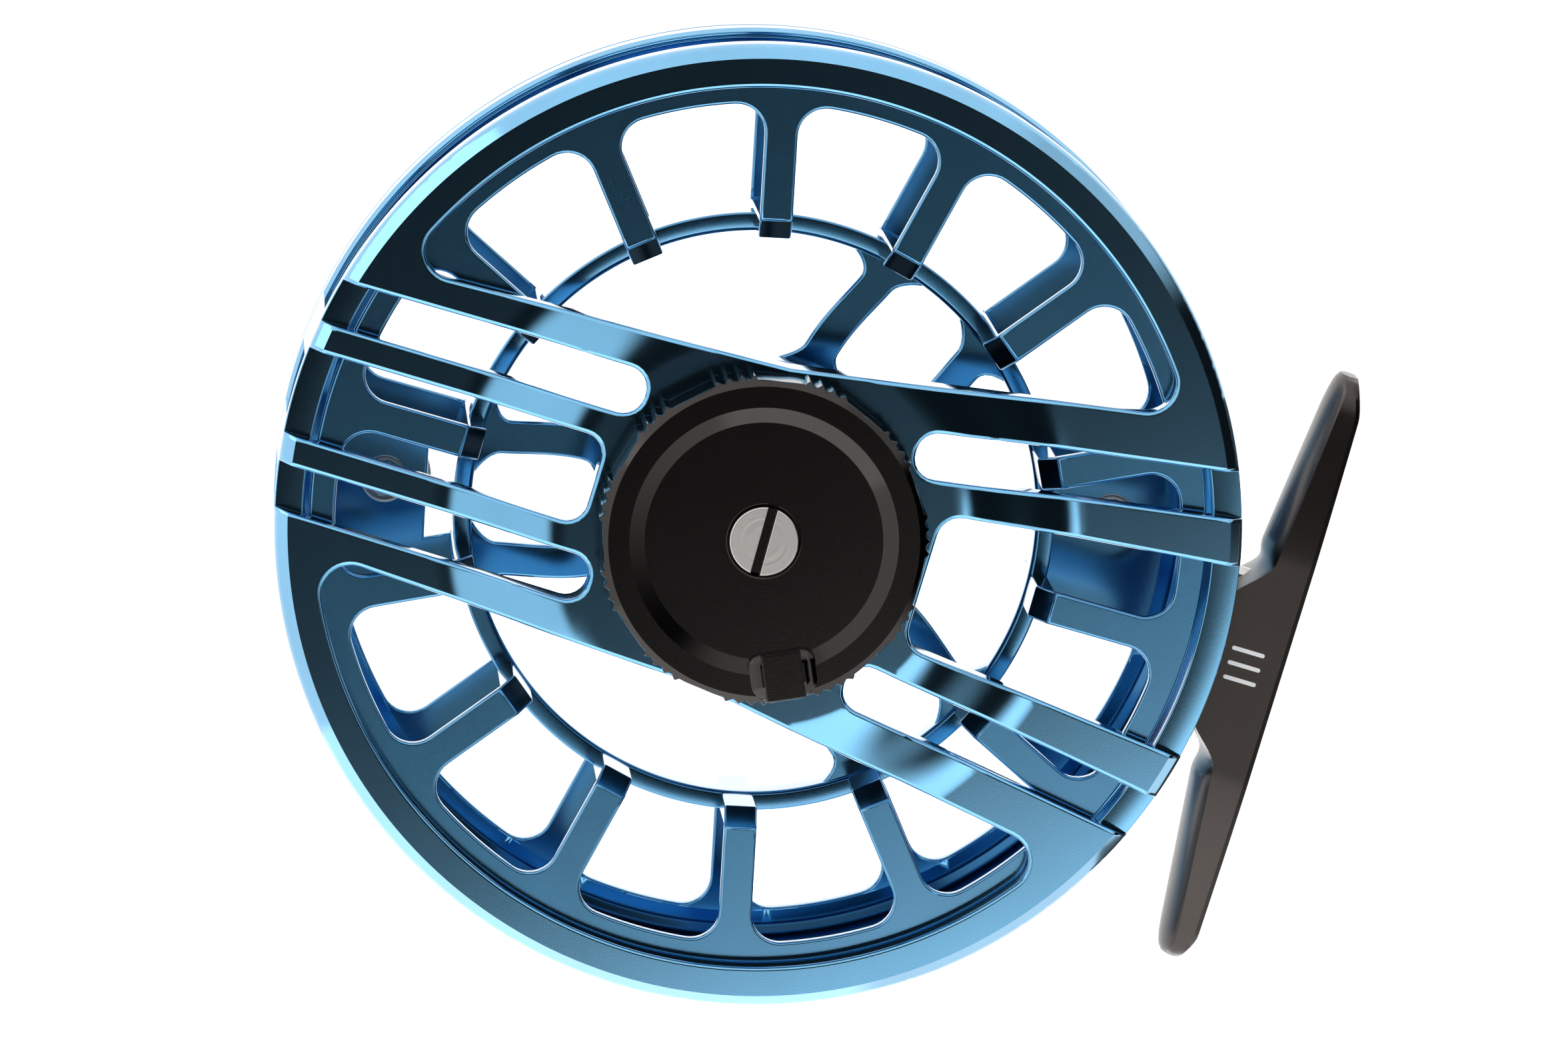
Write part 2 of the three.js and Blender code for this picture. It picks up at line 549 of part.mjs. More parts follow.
function makeSpool() {
  const frontIn = SPOOL_FRONT_Y - FLANGE_T;
  const slant = 2.2; // depth of the slanted inner end of each spoke
  let spool = revolve(
    [
      [ARBOR_R, SPOOL_REAR_Y], [FLANGE_R, SPOOL_REAR_Y], [FLANGE_R, SPOOL_REAR_Y + FLANGE_T],
      [ARBOR_R, SPOOL_REAR_Y + FLANGE_T], [ARBOR_R, frontIn - 0.9], [FLANGE_WINDOW_R, frontIn - 0.9],
      [46.6, frontIn - 0.2], [RIM_R - 1.6, frontIn], [RIM_R - 1.2, PALM_RIM_Y],
      [RIM_R - 0.3, PALM_RIM_Y], [RIM_R, PALM_RIM_Y + 0.4], [RIM_R, SPOOL_FRONT_Y - 0.4],
      [RIM_R - 0.6, SPOOL_FRONT_Y], [ARBOR_R, SPOOL_FRONT_Y], [ARBOR_INNER_R, SPOOL_FRONT_Y - slant],
      [ARBOR_INNER_R, SPOOL_REAR_Y + slant],
    ],
    SPOOL_SEGMENTS,
  );
  for (let i = 0; i < SPOKES; i += 1) {
    const cutter = slab(spokeWindow(COUNTERWEIGHT_ANGLE + PITCH * i), SPOOL_REAR_Y - 1, SPOOL_FRONT_Y + 1, 2);
    spool = spool.subtract(cutter);
  }
  const [waistY0, waistY1] = WAIST_RING_Y;
  spool = spool.add(ring(ARBOR_INNER_R - 0.2, ARBOR_R - 0.2, waistY0, waistY1, SPOOL_SEGMENTS));
  ARM_PAIR_CENTRES.forEach((centre) => {
    [-1, 1].forEach((side) => {
      spool = spool.add(slab(armShape(centre, side), waistY0 + 0.5, waistY1 - 0.5));
    });
  });
  // closed pads in the front flange for the handle and the counterweight
  const padY = [frontIn - 1.3, SPOOL_FRONT_Y - 0.3];
  spool = spool.add(slab(sector(31.5, 45.2, HANDLE_ANGLE - 12.5, HANDLE_ANGLE + 12.5), ...padY, 3));
  spool = spool.add(
    slab(sector(35, 45.2, COUNTERWEIGHT_ANGLE - 12.5, COUNTERWEIGHT_ANGLE + 12.5), ...padY, 3),
  );
  [HANDLE_ANGLE, COUNTERWEIGHT_ANGLE].forEach((degrees) => {
    spool = spool.subtract(at(rod(2.4, 10, 13.7, 12), PAD_R, degrees));
    spool = spool.subtract(at(rod(1.6, 13, 17, 8), PAD_R, degrees));
  });
  const hub = revolve(
    [
      [HUB_INNER_R, -3.5], [HUB_OUTER_R, -3.5], [HUB_OUTER_R, 7.8], [13, 9.5], [12, 12.6],
      [9.1, 12.6], [9.1, 12.35], [9.6, 12.35], [9.6, 11.65], [9.1, 11.65], [9.1, 9.5],
      [5.4, 9.5], [5.4, 6], [HUB_INNER_R, 6],
    ],
    32,
  );
  spool = spool.add(hub).subtract(slab(polygonShape(6, DRIVE_HEX_R + 0.4), 5, 9.25));
  addPiece('spool', spool, blue);
}

function makeReleaseCap() {
  const grip = new THREE.Shape();
  const lobes = 12;
  for (let i = 0; i < lobes * 2; i += 1) {
    const [x, z] = polar(i % 2 ? 7.9 : 8.4, (180 * i) / lobes);
    if (i === 0) grip.moveTo(x, z);
    else grip.lineTo(x, z);
  }
  const knurled = slab(grip, 12.9, 16.2);
  const stem = revolve([[0, 9.8], [8.8, 9.8], [8.8, 11.35], [6.8, 11.35], [6.8, 13.2], [0, 13.2]]);
  addPiece('release_cap', knurled.add(stem).subtract(rod(2.2, 9, 13.4, 12)), black);
  addPiece('cap_clip', ring(7.1, 9.35, 11.65 + 0.1, 12.35 - 0.1, 20), steel);
}

// ---- handle and counterweight, on the front flange ----
const HANDLE_END_Y = 41;

function makeHandle() {
  const post = revolve([
    [0, 15.5], [3.6, 15.5], [3.6, 16.6], [2, 16.6], [2, 38.4], [0, 38.4],
  ], 12).subtract(rod(1.35, 15, 21, 8));
  addPiece('handle_post', at(post, PAD_R, HANDLE_ANGLE), steel);
  const mountScrew = revolve([[0, 12.2], [1.9, 12.2], [1.9, 13.4], [1.1, 13.4], [1.1, 20.6], [0, 20.6]], 8);
  addPiece('handle_mount_screw', at(mountScrew, PAD_R, HANDLE_ANGLE), steel);
  const grip = revolve([
    [3, 16.9], [5.4, 16.9], [6, 17.8], [5.1, 25], [5.4, 32], [6.2, HANDLE_END_Y - 1.4],
    [5.6, HANDLE_END_Y], [3.5, HANDLE_END_Y], [3.5, 38.6], [3, 38.6],
  ], 20);
  addPiece('handle_grip', at(grip, PAD_R, HANDLE_ANGLE), black);
  addPiece('grip_bushing_1', at(ring(2.1, 2.8, 17, 20, 12), PAD_R, HANDLE_ANGLE), brass);
  addPiece('grip_bushing_2', at(ring(2.1, 2.8, 35, 38, 12), PAD_R, HANDLE_ANGLE), brass);
  const endScrew = revolve([[0, 38.8], [3.1, 38.8], [3.1, 40.2], [2.4, 40.6], [0, 40.6]], 12);
  addPiece('grip_end_screw', at(endScrew, PAD_R, HANDLE_ANGLE), steel);
}

function makeCounterweight() {
  const profile = [[0, 15.2], [5, 15.2], [5, 18.2], [4.2, 19], [0, 19]];
  const weight = revolve(profile, 20).subtract(rod(1.35, 14, 18.2, 8));
  addPiece('counterweight', at(weight, PAD_R, COUNTERWEIGHT_ANGLE), steel);
  const screw = revolve([[0, 12.2], [1.9, 12.2], [1.9, 13.4], [1.1, 13.4], [1.1, 17.8], [0, 17.8]], 8);
  addPiece('counterweight_screw', at(screw, PAD_R, COUNTERWEIGHT_ANGLE), steel);
}

makeFrame();
makeFoot();
makeFootScrews();
makeHousing();
makeSpindle();
makePressureParts();
makeDiscs();
makeDriveParts();
makeClickPin();
makeKnob();
makeKnobDetent();
makeSpool();
makeReleaseCap();
makeHandle();
makeCounterweight();

export default reel;
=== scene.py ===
"""Fly reel: the detailed visual model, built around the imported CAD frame."""
import json
import math

import bpy
import numpy as np
from mathutils import Matrix, Vector, geometry


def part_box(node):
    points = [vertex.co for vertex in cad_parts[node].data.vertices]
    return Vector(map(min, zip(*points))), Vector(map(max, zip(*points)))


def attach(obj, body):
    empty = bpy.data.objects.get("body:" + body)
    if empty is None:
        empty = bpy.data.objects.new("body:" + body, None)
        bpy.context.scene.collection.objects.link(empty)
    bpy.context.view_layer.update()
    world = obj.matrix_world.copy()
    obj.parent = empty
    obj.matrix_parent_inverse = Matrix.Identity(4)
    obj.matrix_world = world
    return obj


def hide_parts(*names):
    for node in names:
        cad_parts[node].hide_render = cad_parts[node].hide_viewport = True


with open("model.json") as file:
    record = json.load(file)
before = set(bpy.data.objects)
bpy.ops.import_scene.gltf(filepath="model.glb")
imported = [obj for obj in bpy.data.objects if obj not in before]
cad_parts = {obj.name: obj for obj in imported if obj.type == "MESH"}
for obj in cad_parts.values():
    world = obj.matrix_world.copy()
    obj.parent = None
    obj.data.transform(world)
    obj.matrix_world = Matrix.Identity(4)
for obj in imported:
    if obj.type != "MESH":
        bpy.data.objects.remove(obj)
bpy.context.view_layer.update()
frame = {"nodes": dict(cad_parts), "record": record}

# ---- layout, in millimetres from the spindle axis; Y levels as in the CAD ----
frame_low, frame_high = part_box("frame")
RIM_R = 500 * (frame_high.x - frame_low.x)
HUB_FACE_Y = -17.55
AXIS = Vector((0, 1000 * frame_low.y - HUB_FACE_Y, 1000 * frame_high.z - RIM_R))
BAR_FACE_Y = -15.25
CHAMFER_BASE_Y = -13.15
CHAMFER_TOP_R = 49.4
PLATE_BACK_Y = -12.0
REAR_RING_BACK_Y = -9.4
FRONT_RING_Y = (7.45, 11.75)
RING_INNER_R = 47.8
SEGMENT_INNER_R = 46.35
COUNTERWEIGHT_ANGLE = 103.6
HANDLE_ANGLE = COUNTERWEIGHT_ANGLE - 180
SPOKES = 14
PITCH = 360 / SPOKES
SPOKE_WIDTH = 3.45
FLANGE_R = 47.15
WINDOW_R = 44.4
ARBOR_R = 32.1
ARBOR_INNER_R = 30.1
SPOOL_REAR_Y = -11.5
SPOOL_FRONT_Y = 15.2
PAD_R = 39.0
KNOB_FACE_Y = -25.6
KNOB_R = 17.3
FOOT_Y = -0.9
SEAT_Z = -AXIS.z
SEGMENTS = 288


# ---- small geometry helpers ----
def rad(degrees):
    return math.radians(degrees)


def polar(r, degrees):
    return (r * math.cos(rad(degrees)), r * math.sin(rad(degrees)))


def arc(centre, r, start, end, step=1.25):
    """Points of an arc, in degrees, both ends included."""
    count = max(2, int(math.ceil(abs(end - start) / step)) + 1)
    points = []
    for i in range(count):
        x, z = polar(r, start + (end - start) * i / (count - 1))
        points.append((centre[0] + x, centre[1] + z))
    return points


def rounded(corners, per_arc=6):
    """Closed outline from (x, z, corner radius), with each corner rounded."""
    points = []
    count = len(corners)
    for i, (x, z, r) in enumerate(corners):
        if r <= 0:
            points.append((x, z))
            continue
        here = Vector((x, z))
        to_prev = (Vector(corners[i - 1][:2]) - here).normalized()
        to_next = (Vector(corners[(i + 1) % count][:2]) - here).normalized()
        half = to_prev.angle(to_next) / 2
        reach = r / math.tan(half)
        centre = here + (to_prev + to_next).normalized() * (r / math.sin(half))
        first = here + to_prev * reach - centre
        last = here + to_next * reach - centre
        a0 = math.atan2(first.y, first.x)
        turn = math.atan2(last.y, last.x) - a0
        turn = (turn + math.pi) % (2 * math.pi) - math.pi
        for k in range(per_arc + 1):
            a = a0 + turn * k / per_arc
            points.append((centre.x + r * math.cos(a), centre.y + r * math.sin(a)))
    return points


def dense(loop, spacing=1.0):
    """The same outline with no edge longer than spacing."""
    points = []
    for i, a in enumerate(loop):
        b = loop[(i + 1) % len(loop)]
        length = math.hypot(b[0] - a[0], b[1] - a[1])
        if length < 1e-6:
            continue
        count = math.ceil(length / spacing)
        for k in range(count):
            points.append((a[0] + (b[0] - a[0]) * k / count, a[1] + (b[1] - a[1]) * k / count))
    return points


def signed_area(loop):
    p = np.array(loop)
    q = np.roll(p, -1, axis=0)
    return 0.5 * float(np.sum(p[:, 0] * q[:, 1] - q[:, 0] * p[:, 1]))


def offset(loop, distance):
    """Outline moved to its left by distance."""
    p = np.array(loop)
    edge = np.roll(p, -1, axis=0) - p
    edge /= np.maximum(np.linalg.norm(edge, axis=1, keepdims=True), 1e-9)
    normal = np.stack([-edge[:, 1], edge[:, 0]], axis=1)
    before = np.roll(normal, 1, axis=0)
    dot = np.sum(normal * before, axis=1, keepdims=True)
    return p + distance * (normal + before) / np.maximum(1 + dot, 0.35)


def crossed(loop, bevel, radii):
    """The outline with a point added wherever its bevelled edge will cross one of the radii."""
    points = []
    moved_in = offset(loop, bevel)
    for i, a in enumerate(loop):
        b = loop[(i + 1) % len(loop)]
        p, q = moved_in[i], moved_in[(i + 1) % len(loop)]
        points.append(tuple(a))
        for r in radii:
            if (np.hypot(*p) - r) * (np.hypot(*q) - r) >= 0:
                continue
            low, high = 0.0, 1.0
            starts_inside = np.hypot(*p) < r
            for _ in range(30):
                t = (low + high) / 2
                if (np.hypot(*(p + (q - p) * t)) < r) == starts_inside:
                    low = t
                else:
                    high = t
            if 0.05 < low < 0.95:
                points.append((a[0] + (b[0] - a[0]) * low, a[1] + (b[1] - a[1]) * low))
    return points


def inside(points, loops):
    """Even-odd test of many points against closed outlines."""
    hit = np.zeros(len(points), bool)
    px, pz = points[:, 0], points[:, 1]
    for loop in loops:
        x0, z0 = loop[:, 0], loop[:, 1]
        x1, z1 = np.roll(x0, -1), np.roll(z0, -1)
        for i in range(len(x0)):
            if z0[i] == z1[i]:
                continue
            crosses = (z0[i] > pz) != (z1[i] > pz)
            at = (x1[i] - x0[i]) * (pz - z0[i]) / (z1[i] - z0[i]) + x0[i]
            hit ^= crosses & (px < at)
    return hit


def fill(loops, crease_radii=(), point_radii=()):
    """Triangles that fill outlines: the first is the outside and the others are holes. Edges run along the
    crease circles, and the point circles only add points."""
    points, edges = [], []
    for loop in loops:
        start = len(points)
        points += [Vector((float(x), float(z))) for x, z in loop]
        edges += [(start + i, start + (i + 1) % len(loop)) for i in range(len(loop))]
    boundary = np.array([tuple(p) for p in points])
    for r in list(crease_radii) + list(point_radii):
        circle = np.array(arc((0, 0), r, 0, 360 - 360 / SEGMENTS, 360 / SEGMENTS))
        keep = inside(circle, [np.array(loop) for loop in loops])
        gap = np.min(np.linalg.norm(circle[:, None, :] - boundary[None, :, :], axis=2), axis=1)
        keep &= gap > 0.12
        start = len(points)
        number = {}
        for i in np.nonzero(keep)[0]:
            number[int(i)] = len(points)
            points.append(Vector(circle[i].tolist()))
        if r not in crease_radii:
            continue
        for i, n in number.items():
            after = (i + 1) % len(circle)
            if after in number:
                edges.append((n, number[after]))
            for end in (after, (i - 1) % len(circle)):
                if end not in number:
                    on_circle = np.abs(np.linalg.norm(boundary, axis=1) - r) < 0.08
                    away = np.linalg.norm(boundary - circle[i], axis=1) + np.where(on_circle, 0, 99)
                    if away.min() < 2.2:
                        edges.append((n, int(away.argmin())))
    made = geometry.delaunay_2d_cdt(points, edges, [], 0, 1e-5)
    flat = np.array([tuple(p) for p in made[0]])
    triangles = np.array([f for f in made[2] if len(f) == 3])
    keep = inside(flat[triangles].mean(axis=1), [np.array(loop) for loop in loops])
    return flat, triangles[keep]


def level(value):
    return value if callable(value) else (lambda r: value)


def plate(loops, near, far, bevel=0.35, far_bevel=None, steps=2, creases=(), points_at=()):
    """Solid plate with its outlines in (x, z). near and far give the Y of its two faces, as numbers or as
    functions of the radius; every edge gets a bevel."""
    near, far = level(near), level(far)
    far_bevel = bevel if far_bevel is None else far_bevel
    oriented = []
    for i, loop in enumerate(loops):
        ccw = signed_area(loop) > 0
        loop = list(loop) if ccw == (i == 0) else list(reversed(loop))
        oriented.append(crossed(loop, bevel, creases) if creases else loop)
    verts, faces = [], []

    def radius(p):
        return np.hypot(p[:, 0], p[:, 1])

    def ring_of(loop, inset, face, depth):
        p = offset(loop, inset)
        y = np.array([face(r) for r in radius(p)]) + depth
        start = len(verts)
        verts.extend([(float(a), float(h), float(b)) for (a, b), h in zip(p, y)])
        return start

    near_loops, far_loops = [], []
    for loop in oriented:
        n = len(loop)
        rings = []
        for k in range(steps, -1, -1):
            t = rad(90 * k / steps)
            rings.append(ring_of(loop, bevel * (1 - math.cos(t)), near, bevel * (1 - math.sin(t))))
        for k in range(steps + 1):
            t = rad(90 * k / steps)
            rings.append(ring_of(loop, far_bevel * (1 - math.cos(t)), far, -far_bevel * (1 - math.sin(t))))
        for a, b in zip(rings, rings[1:]):
            for i in range(n):
                j = (i + 1) % n
                faces.append((a + i, b + i, b + j, a + j))
        near_loops.append(offset(loop, bevel))
        far_loops.append(offset(loop, far_bevel))
    for face, outlines, flip in ((near, near_loops, False), (far, far_loops, True)):
        flat, triangles = fill(outlines, creases if not flip else (), points_at if not flip else ())
        start = len(verts)
        verts.extend([(float(x), float(face(math.hypot(x, z))), float(z)) for x, z in flat])
        for a, b, c in triangles.tolist():
            ab, ac = flat[b] - flat[a], flat[c] - flat[a]
            ccw = ab[0] * ac[1] - ab[1] * ac[0] > 0
            order = (a, b, c) if ccw != flip else (a, c, b)
            faces.append(tuple(start + i for i in order))
    return verts, faces


def lathe(profile, segments=SEGMENTS, closed=True):
    """A profile of (radius, y) turned about the spindle axis."""
    if signed_area(profile) < 0:
        profile = list(reversed(profile))
    verts, faces = [], []
    for i in range(segments):
        c, s = math.cos(2 * math.pi * i / segments), math.sin(2 * math.pi * i / segments)
        verts += [(r * c, y, r * s) for r, y in profile]
    n = len(profile)
    for i in range(segments):
        a, b = i * n, ((i + 1) % segments) * n
        for j in range(n if closed else n - 1):
            k = (j + 1) % n
            if profile[j][0] < 1e-6 and profile[k][0] < 1e-6:
                continue
            faces.append((a + j, a + k, b + k, b + j))
    return verts, faces


def turned(part, degrees=0, shift=(0, 0, 0)):
    """A part turned about the spindle axis, from +X towards +Z, after being moved by shift."""
    c, s = math.cos(rad(degrees)), math.sin(rad(degrees))
    verts = []
    for x, y, z in part[0]:
        x, y, z = x + shift[0], y + shift[1], z + shift[2]
        verts.append((x * c - z * s, y, x * s + z * c))
    return verts, part[1]


def standing(part, degrees):
    """A plate drawn in (radius, level) stood up in the plane through the spindle axis at that angle."""
    c, s = math.cos(rad(degrees)), math.sin(rad(degrees))
    verts = [(u * c + w * s, v, u * s - w * c) for u, w, v in part[0]]
    return verts, part[1]


def joined(parts):
    """All parts as one set of vertices and faces, in metres, with coincident vertices merged."""
    verts, faces, number = [], [], {}
    for part_verts, part_faces in parts:
        index = []
        for point in part_verts:
            key = tuple(round(c, 3) for c in point)
            if key not in number:
                number[key] = len(verts)
                verts.append([(c + a) / 1000 for c, a in zip(point, AXIS)])
            index.append(number[key])
        for face in part_faces:
            corners = [index[i] for i in face]
            corners = [c for k, c in enumerate(corners) if c != corners[k - 1]]
            if len(set(corners)) > 2:
                faces.append(corners)
    return verts, faces


def weighted_normals(obj):
    """Corner normals in which large faces win over the bevels beside them."""
    weighted = obj.modifiers.new("normals", "WEIGHTED_NORMAL")
    weighted.keep_sharp = True
    shaded = bpy.data.meshes.new_from_object(obj.evaluated_get(bpy.context.evaluated_depsgraph_get()))
    normals = [corner.vector.copy() for corner in shaded.corner_normals]
    bpy.data.meshes.remove(shaded)
    obj.modifiers.remove(weighted)
    return normals


def fill_normals(mesh, normals, face_level):
    """Exact normals for the triangles that fill a plate: flat, or from the slope of its level function."""
    for face in mesh.polygons:
        if len(face.vertices) > 3:
            continue
        for corner in face.loop_indices:
            normals[corner] = face.normal.copy()
        centre = face.center * 1000 - AXIS
        centre_r = math.hypot(centre.x, centre.z)
        if face_level is None or abs(centre.y - face_level(centre_r)) > 0.1:
            continue
        for corner in face.loop_indices:
            point = mesh.vertices[mesh.loops[corner].vertex_index].co * 1000 - AXIS
            r = max(1e-6, math.hypot(point.x, point.z))
            at = r + 0.05 * (centre_r - r)
            slope = (face_level(at + 0.005) - face_level(at - 0.005)) / 0.01
            away = math.copysign(1, face.normal.y)
            lean = -away * slope / r
            normals[corner] = Vector((lean * point.x, away, lean * point.z)).normalized()


def piece(name, parts, material, body, replaces=(), sharp=50, face_level=None):
    """One object from several closed parts, in the row frame."""
    verts, faces = joined(parts)
    mesh = bpy.data.meshes.new(name)
    mesh.from_pydata(verts, [], faces)
    mesh.validate()
    mesh.materials.append(material)
    obj = bpy.data.objects.new(name, mesh)
    bpy.context.scene.collection.objects.link(obj)
    mesh.shade_smooth()
    mesh.set_sharp_from_angle(angle=rad(sharp))
    normals = weighted_normals(obj)
    fill_normals(mesh, normals, face_level)
    mesh.normals_split_custom_set(normals)
    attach(obj, body)
    if replaces:
        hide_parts(*replaces)
    return obj


# ---- materials ----
def material(name, base, metallic, roughness, grain=0.0, grain_scale=6000, turned_marks=0.0, spread=0.06,
             coat=0.0, rough_spread=0.05):
    """Procedural finish: slight colour drift, fine blasted grain and turning marks around the spindle."""
    m = bpy.data.materials.new(name)
    m.use_nodes = True
    nodes, links = m.node_tree.nodes, m.node_tree.links
    shader = nodes["Principled BSDF"]
    shader.inputs["Metallic"].default_value = metallic
    shader.inputs["Coat Weight"].default_value = coat
    shader.inputs["Coat Roughness"].default_value = 0.1
    shader.inputs["Coat IOR"].default_value = 1.6
    where = nodes.new("ShaderNodeTexCoord")
    drift = nodes.new("ShaderNodeTexNoise")
    drift.inputs["Scale"].default_value = 90
    drift.inputs["Detail"].default_value = 4
    links.new(where.outputs["Object"], drift.inputs["Vector"])
    ramp = nodes.new("ShaderNodeValToRGB")
    ramp.color_ramp.elements[0].position = 0.3
    ramp.color_ramp.elements[1].position = 0.7
    ramp.color_ramp.elements[0].color = [max(0, c * (1 - spread)) for c in base] + [1]
    ramp.color_ramp.elements[1].color = [min(1, c * (1 + spread)) for c in base] + [1]
    links.new(drift.outputs["Fac"], ramp.inputs["Fac"])
    links.new(ramp.outputs["Color"], shader.inputs["Base Color"])
    fine = nodes.new("ShaderNodeTexNoise")
    fine.inputs["Scale"].default_value = grain_scale
    fine.inputs["Detail"].default_value = 2
    links.new(where.outputs["Object"], fine.inputs["Vector"])
    spreader = nodes.new("ShaderNodeMapRange")
    spreader.inputs["To Min"].default_value = roughness - rough_spread
    spreader.inputs["To Max"].default_value = roughness + rough_spread
    links.new(fine.outputs["Fac"], spreader.inputs["Value"])
    links.new(spreader.outputs["Result"], shader.inputs["Roughness"])
    bump = nodes.new("ShaderNodeBump")
    bump.inputs["Strength"].default_value = grain
    bump.inputs["Distance"].default_value = 0.00001
    links.new(fine.outputs["Fac"], bump.inputs["Height"])
    last = bump
    if turned_marks:
        move = nodes.new("ShaderNodeVectorMath")
        move.operation = "SUBTRACT"
        move.inputs[1].default_value = (0, 0, AXIS.z / 1000)
        links.new(where.outputs["Object"], move.inputs[0])
        flat = nodes.new("ShaderNodeVectorMath")
        flat.operation = "MULTIPLY"
        flat.inputs[1].default_value = (1, 0.4, 1)
        links.new(move.outputs["Vector"], flat.inputs[0])
        length = nodes.new("ShaderNodeVectorMath")
        length.operation = "LENGTH"
        links.new(flat.outputs["Vector"], length.inputs[0])
        rings = nodes.new("ShaderNodeTexNoise")
        rings.noise_dimensions = "1D"
        rings.inputs["Scale"].default_value = 9000
        rings.inputs["Detail"].default_value = 1
        links.new(length.outputs["Value"], rings.inputs["W"])
        lines = nodes.new("ShaderNodeBump")
        lines.inputs["Strength"].default_value = turned_marks
        lines.inputs["Distance"].default_value = 0.00001
        links.new(rings.outputs["Fac"], lines.inputs["Height"])
        links.new(bump.outputs["Normal"], lines.inputs["Normal"])
        last = lines
    links.new(last.outputs["Normal"], shader.inputs["Normal"])
    return m


BLUE = (0.14, 0.42, 0.67)
blue = material("blue_anodised", BLUE, 1, 0.09, grain=0.04, coat=1.0, rough_spread=0.02)
blue_soft = material("blue_blasted", (0.08, 0.29, 0.50), 1, 0.14, grain=0.06, coat=1.0, rough_spread=0.03)
black = material("black_anodised", (0.044, 0.040, 0.038), 1, 0.12, grain=0.05, turned_marks=0.06, coat=0.1,
                 rough_spread=0.03)
black_foot = material("black_foot", (0.062, 0.053, 0.049), 1, 0.3, grain=0.1, coat=0.15)
steel = material("stainless", (0.62, 0.60, 0.57), 1, 0.24, turned_marks=0.3)
dark_steel = material("blued_steel", (0.20, 0.22, 0.23), 1, 0.3, grain=0.2)
brass = material("bronze", (0.62, 0.45, 0.22), 1, 0.3, turned_marks=0.2)
carbon = material("carbon_disc", (0.03, 0.03, 0.033), 0, 0.5, grain=0.6)
rubber = material("seal_rubber", (0.015, 0.015, 0.015), 0, 0.7, grain=0.4)
etched = material("etched_mark", (0.66, 0.66, 0.66), 0.6, 0.5, grain=0.4)

slot_material = {"blue_anodised": blue, "black_anodised": black, "stainless": steel, "brass": brass,
                 "carbon": carbon, "seal_rubber": rubber}
slot_of = {entry["node"]: entry["material_slot"] for entry in frame["record"]["subparts"]}
for node_name, node in frame["nodes"].items():
    for index in range(len(node.material_slots)):
        node.material_slots[index].material = slot_material[slot_of[node_name]]


# ---- frame: rear plate ----
def smooth_step(t):
    t = min(1.0, max(0.0, t))
    return t * t * (3 - 2 * t)


def plate_face(r):
    """Level of the rear plate's outer face: raised hub, flat bars, then the wide rim chamfer."""
    if r > CHAMFER_TOP_R:
        return BAR_FACE_Y + (CHAMFER_BASE_Y - BAR_FACE_Y) * (r - CHAMFER_TOP_R) / (RIM_R - CHAMFER_TOP_R)
    return HUB_FACE_Y + (BAR_FACE_Y - HUB_FACE_Y) * smooth_step((r - 20.5) / 13.5)


def on_circle(inner, outer, r):
    """Where the line from inner to outer meets the circle of radius r."""
    dx, dz = outer[0] - inner[0], outer[1] - inner[1]
    a = dx * dx + dz * dz
    b = 2 * (inner[0] * dx + inner[1] * dz)
    c = inner[0] ** 2 + inner[1] ** 2 - r * r
    t = (-b + math.sqrt(b * b - 4 * a * c)) / (2 * a)
    return (inner[0] + dx * t, inner[1] + dz * t)


def mirrored_slot(slot):
    (e_out, e_in, x_in, x_out), r = slot
    flip = [(-x, z) for x, z in (x_out, x_in, e_in, e_out)]
    return flip, r


RIGHT_GUARD_SLOT = ([(12.35, 56), (12.75, 15.75), (7.75, 15.75), (7.65, 56)], 2.3)
MIDDLE_GUARD_SLOT = ([(4.6, 56), (4.75, 18.2), (-4.75, 18.2), (-4.6, 56)], 2.2)
MIDDLE_FOOT_SLOT = ([(-11.2, -56), (-7.2, -17.8), (7.2, -17.8), (11.2, -56)], 2.5)
RIGHT_FOOT_SLOT = ([(16.6, -56), (10, -13.1), (14.95, -13.1), (21.5, -56)], 2.3)
slots = [RIGHT_GUARD_SLOT, MIDDLE_GUARD_SLOT, mirrored_slot(RIGHT_GUARD_SLOT),
         mirrored_slot(RIGHT_FOOT_SLOT), MIDDLE_FOOT_SLOT, RIGHT_FOOT_SLOT]


def angle_of(p):
    return math.degrees(math.atan2(p[1], p[0])) % 360


outline = []
for i, (corners, r) in enumerate(slots):
    e_out, e_in, x_in, x_out = corners
    entry = on_circle(e_in, e_out, RIM_R)
    leave = on_circle(x_in, x_out, RIM_R)
    path = rounded([(*entry, 0), (*e_in, r), (*x_in, r), (*leave, 0)])
    after = slots[(i + 1) % len(slots)][0]
    next_entry = on_circle(after[1], after[0], RIM_R)
    a0, a1 = angle_of(leave), angle_of(next_entry)
    if a1 < a0:
        a1 += 360
    outline += path + arc((0, 0), RIM_R, a0, a1)[1:-1]


def fillet_to_arc(start, along, inward, big_r, r):
    """Centre of the fillet between a straight edge and the arc of radius big_r, and its two angles."""
    sx, sz = start[0] + inward[0] * r, start[1] + inward[1] * r
    b = sx * along[0] + sz * along[1]
    c = sx * sx + sz * sz - (big_r - r) ** 2
    t = -b + math.sqrt(b * b - c)
    centre = (sx + along[0] * t, sz + along[1] * t)
    edge_angle = math.degrees(math.atan2(-inward[1], -inward[0]))
    arc_angle = math.degrees(math.atan2(centre[1], centre[0]))
    return centre, edge_angle, arc_angle


